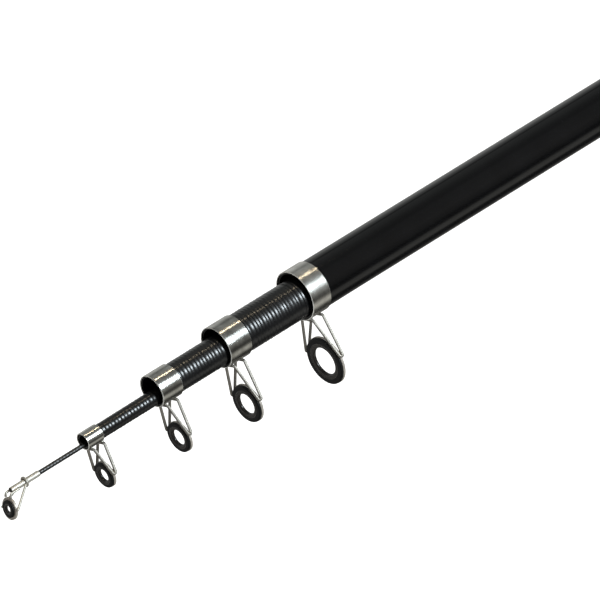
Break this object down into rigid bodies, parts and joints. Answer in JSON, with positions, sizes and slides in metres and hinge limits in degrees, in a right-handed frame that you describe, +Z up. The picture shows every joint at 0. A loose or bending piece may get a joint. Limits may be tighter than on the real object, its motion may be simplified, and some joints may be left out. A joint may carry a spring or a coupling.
{
  "type": "telescopic fishing rod",
  "caption": "Collapsed telescopic fishing rod: tapered sections draw out of a lacquered butt with wire-framed line guides on steel collars, a reel seat and a screw cap.",
  "frame": {"origin": "middle of the rear face of the rubber bumper on the butt cap", "axes": "+X along the butt towards the tip, +Z up, so that the guides and the reel seat hang along -Z, +Y to the left of a person who holds the rod with the guides down"},
  "size_m": [0.96, 0.025, 0.0545],
  "materials": {
    "lacquer": "glossy lacquer over wound fibre",
    "steel": "polished stainless",
    "shock_nylon": "moulded nylon",
    "ceramic": "polished ceramic",
    "dark_alloy": "dark anodised",
    "rubber": "moulded rubber",
    "seat_nylon": "filled nylon",
    "coated_steel": "black coated sheet steel",
    "thread": "varnished thread"
  },
  "bodies": {
    "butt": {"butt_blank": "lacquer", "butt_sleeve": "dark_alloy", "butt_collar": "steel", "butt_frame": "steel", "butt_hoop": "steel", "butt_shock_ring": "shock_nylon", "butt_ceramic": "ceramic", "seat_plate": "seat_nylon", "seat_fixed_hood": "coated_steel", "seat_wrap_front": "thread", "seat_wrap_rear": "thread"},
    "sliding_hood": {"seat_sliding_hood": "coated_steel", "lever_pin": "steel"},
    "lever": {"seat_lever": "steel"},
    "cap": {"cap": "dark_alloy", "cap_bumper": "rubber", "cap_pad": "rubber"},
    "second": {"second_blank": "lacquer", "second_collar": "steel", "second_frame": "steel", "second_hoop": "steel", "second_shock_ring": "shock_nylon", "second_ceramic": "ceramic"},
    "third": {"third_blank": "lacquer", "third_collar": "steel", "third_frame": "steel", "third_hoop": "steel", "third_shock_ring": "shock_nylon", "third_ceramic": "ceramic"},
    "fourth": {"fourth_blank": "lacquer", "fourth_collar": "steel", "fourth_frame": "steel", "fourth_hoop": "steel", "fourth_shock_ring": "shock_nylon", "fourth_ceramic": "ceramic"},
    "tip": {"tip_blank": "lacquer", "tip_tube": "steel", "tip_band": "steel", "tip_leg_left": "steel", "tip_leg_right": "steel", "tip_wire_left": "steel", "tip_wire_right": "steel", "tip_hoop": "steel", "tip_shock_ring": "shock_nylon", "tip_ceramic": "ceramic"}
  },
  "joints": [
    {"name": "second_slide", "type": "slide", "parent": "butt", "child": "second", "axis": [1, 0, 0.001], "range_m": [0, 0.6997]},
    {"name": "third_slide", "type": "slide", "parent": "second", "child": "third", "axis": [1, 0, 0.0008], "range_m": [0, 0.7436]},
    {"name": "fourth_slide", "type": "slide", "parent": "third", "child": "fourth", "axis": [1, 0, 0.0004], "range_m": [0, 0.7789]},
    {"name": "tip_slide", "type": "slide", "parent": "fourth", "child": "tip", "axis": [1, 0, -0.0002], "range_m": [0, 0.8165]},
    {"name": "hood_slide", "type": "slide", "parent": "butt", "child": "sliding_hood", "axis": [1, 0, 0], "range_m": [0, 0.03]},
    {"name": "lever_turn", "type": "hinge", "parent": "sliding_hood", "child": "lever", "pos_m": [0.2853, 0, -0.01691], "axis": [0, -1, 0], "range_deg": [0, 85]},
    {"name": "cap_off", "type": "slide", "parent": "butt", "child": "cap", "axis": [-1, 0, 0], "range_m": [0, 0.03]}
  ]
}
